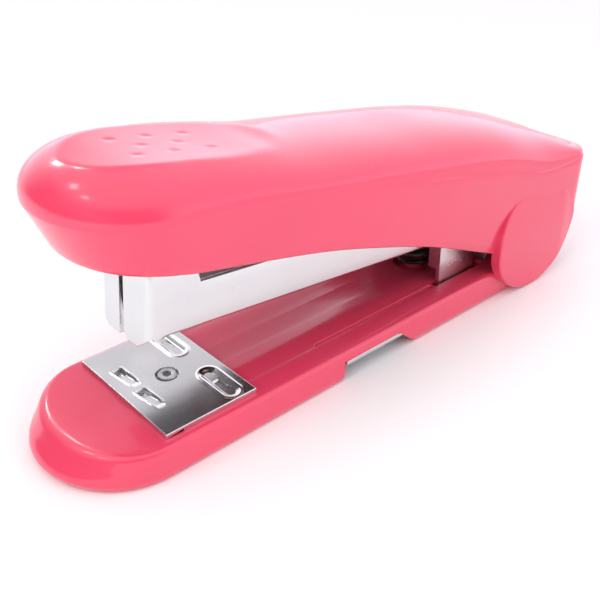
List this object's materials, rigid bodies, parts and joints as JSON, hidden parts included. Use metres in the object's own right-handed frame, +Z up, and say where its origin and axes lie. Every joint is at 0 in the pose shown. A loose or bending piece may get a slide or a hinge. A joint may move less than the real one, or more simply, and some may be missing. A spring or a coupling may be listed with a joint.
{
  "type": "desktop stapler",
  "caption": "Half-strip desktop stapler with a glossy moulded handle, steel magazine, turnable anvil and a slim base that stands on a table.",
  "frame": {"origin": "on the table under the middle of the stapler's box at rest", "axes": "+X from the nose to the pivot end, +Y across the width, +Z up"},
  "size_m": [0.1416, 0.0394, 0.0573],
  "materials": {
    "pink_plastic": "high gloss, moulded",
    "zinc_steel": "zinc plated",
    "nickel_steel": "bright nickel plated sheet",
    "dark_steel": "oiled dark steel",
    "black_steel": "blackened spring wire",
    "black_plastic": "satin",
    "staple_wire": "galvanised wire, lacquered",
    "rubber": "matt"
  },
  "bodies": {
    "base": {"base_shell": "pink_plastic", "base_plate": "zinc_steel", "foot_front": "rubber", "foot_rear": "rubber", "pivot_bracket": "zinc_steel", "bracket_rivet_a": "zinc_steel", "bracket_rivet_b": "zinc_steel", "pivot_pin": "zinc_steel", "pivot_washer_left": "zinc_steel", "pivot_washer_right": "zinc_steel", "return_spring": "black_steel"},
    "anvil": {"anvil_plate": "nickel_steel", "anvil_post": "zinc_steel", "anvil_button": "dark_steel", "anvil_spring": "black_steel"},
    "magazine": {"magazine_channel": "nickel_steel", "staple_rail": "nickel_steel", "rail_block": "black_plastic", "staple_strip": "staple_wire", "pusher_rod": "nickel_steel", "pusher_spring": "zinc_steel", "limit_link": "nickel_steel", "link_rivet": "zinc_steel"},
    "pusher": {"pusher": "dark_steel"},
    "handle": {"handle_frame": "zinc_steel", "driver_blade": "dark_steel", "cover_screw_front": "dark_steel", "cover_screw_rear": "dark_steel", "leaf_spring": "zinc_steel", "leaf_rivet": "zinc_steel", "handle_cover": "pink_plastic"}
  },
  "joints": [
    {"name": "magazine_close", "type": "hinge", "parent": "base", "child": "magazine", "pos_m": [0.05185, 0, 0.0158], "axis": [0, 1, 0], "range_deg": [-6.7, 0], "stiffness_Nm_per_rad": 1.2, "springref_deg": 6.88, "deforming": ["return_spring"]},
    {"name": "handle_press", "type": "hinge", "parent": "magazine", "child": "handle", "pos_m": [0.05185, 0, 0.0158], "axis": [0, 1, 0], "range_deg": [-5.5, 50], "stiffness_Nm_per_rad": 1.5, "springref_deg": 0.86, "deforming": ["leaf_spring"]},
    {"name": "pusher_slide", "type": "slide", "parent": "magazine", "child": "pusher", "axis": [0.9947, 0, -0.1028], "range_m": [0, 0.022], "stiffness_N_per_m": 60, "springref_m": -0.02, "deforming": ["pusher_spring"]},
    {"name": "anvil_turn", "type": "hinge", "parent": "base", "child": "anvil", "pos_m": [-0.04265, 0, 0.00825], "axis": [0, 0, 1], "range_deg": [0, 180]}
  ]
}
